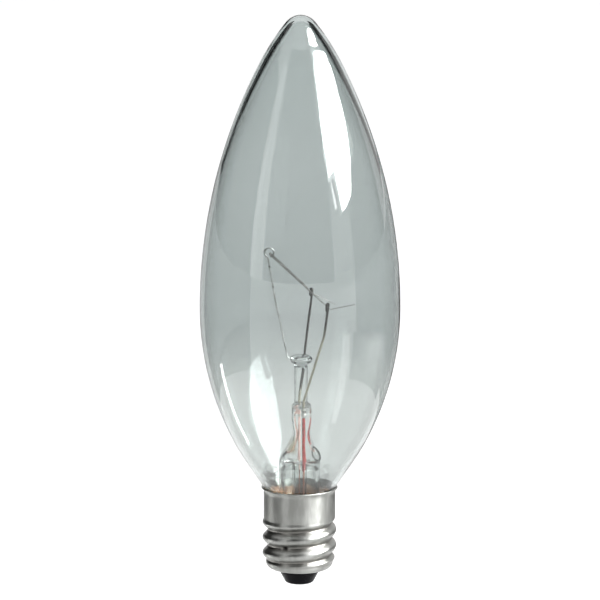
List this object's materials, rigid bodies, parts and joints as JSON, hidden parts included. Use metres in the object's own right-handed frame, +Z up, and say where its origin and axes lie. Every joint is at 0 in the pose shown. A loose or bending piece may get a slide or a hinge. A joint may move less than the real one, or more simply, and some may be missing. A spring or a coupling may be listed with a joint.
{
  "type": "candle bulb",
  "caption": "Clear candle-shaped incandescent bulb: pointed glass envelope, wire-held coiled filament on a glass stem, and a small rolled screw base.",
  "frame": {"origin": "on the bulb's axis, at the lowest face of the centre contact", "axes": "+Z up the axis from the contact to the tip; the picture's camera looks along +Y with +X to the right"},
  "size_m": [0.0318, 0.0318, 0.0916],
  "materials": {
    "envelope_glass": "clear blown glass, faintly grey-green",
    "stem_glass": "clear lead-free stem glass",
    "shell_metal": "rolled, lightly brushed",
    "insulator_glass": "glossy black moulded glass",
    "contact_brass": "pressed, dull",
    "contact_solder": "smooth tin solder",
    "cement": "baked brown cement, matt",
    "tungsten": "drawn, dark grey",
    "molybdenum": "drawn, grey",
    "nickel_lead": "drawn nickel, darkened by heat",
    "copper_clad": "copper-clad, borated red",
    "copper_wire": "drawn copper, dull"
  },
  "bodies": {
    "root": {"glass_envelope": "envelope_glass", "stem_flare": "stem_glass", "exhaust_tube": "stem_glass", "stem_rod": "stem_glass", "support_wire": "molybdenum", "filament": "tungsten", "lead_inner_rear": "nickel_lead", "lead_inner_front": "nickel_lead", "lead_seal_rear": "copper_clad", "lead_seal_front": "copper_clad", "lead_outer_rear": "copper_wire", "lead_outer_front": "copper_wire", "basing_cement": "cement", "screw_shell": "shell_metal", "insulator": "insulator_glass", "contact_plate": "contact_brass", "contact_solder": "contact_solder"}
  },
  "joints": []
}
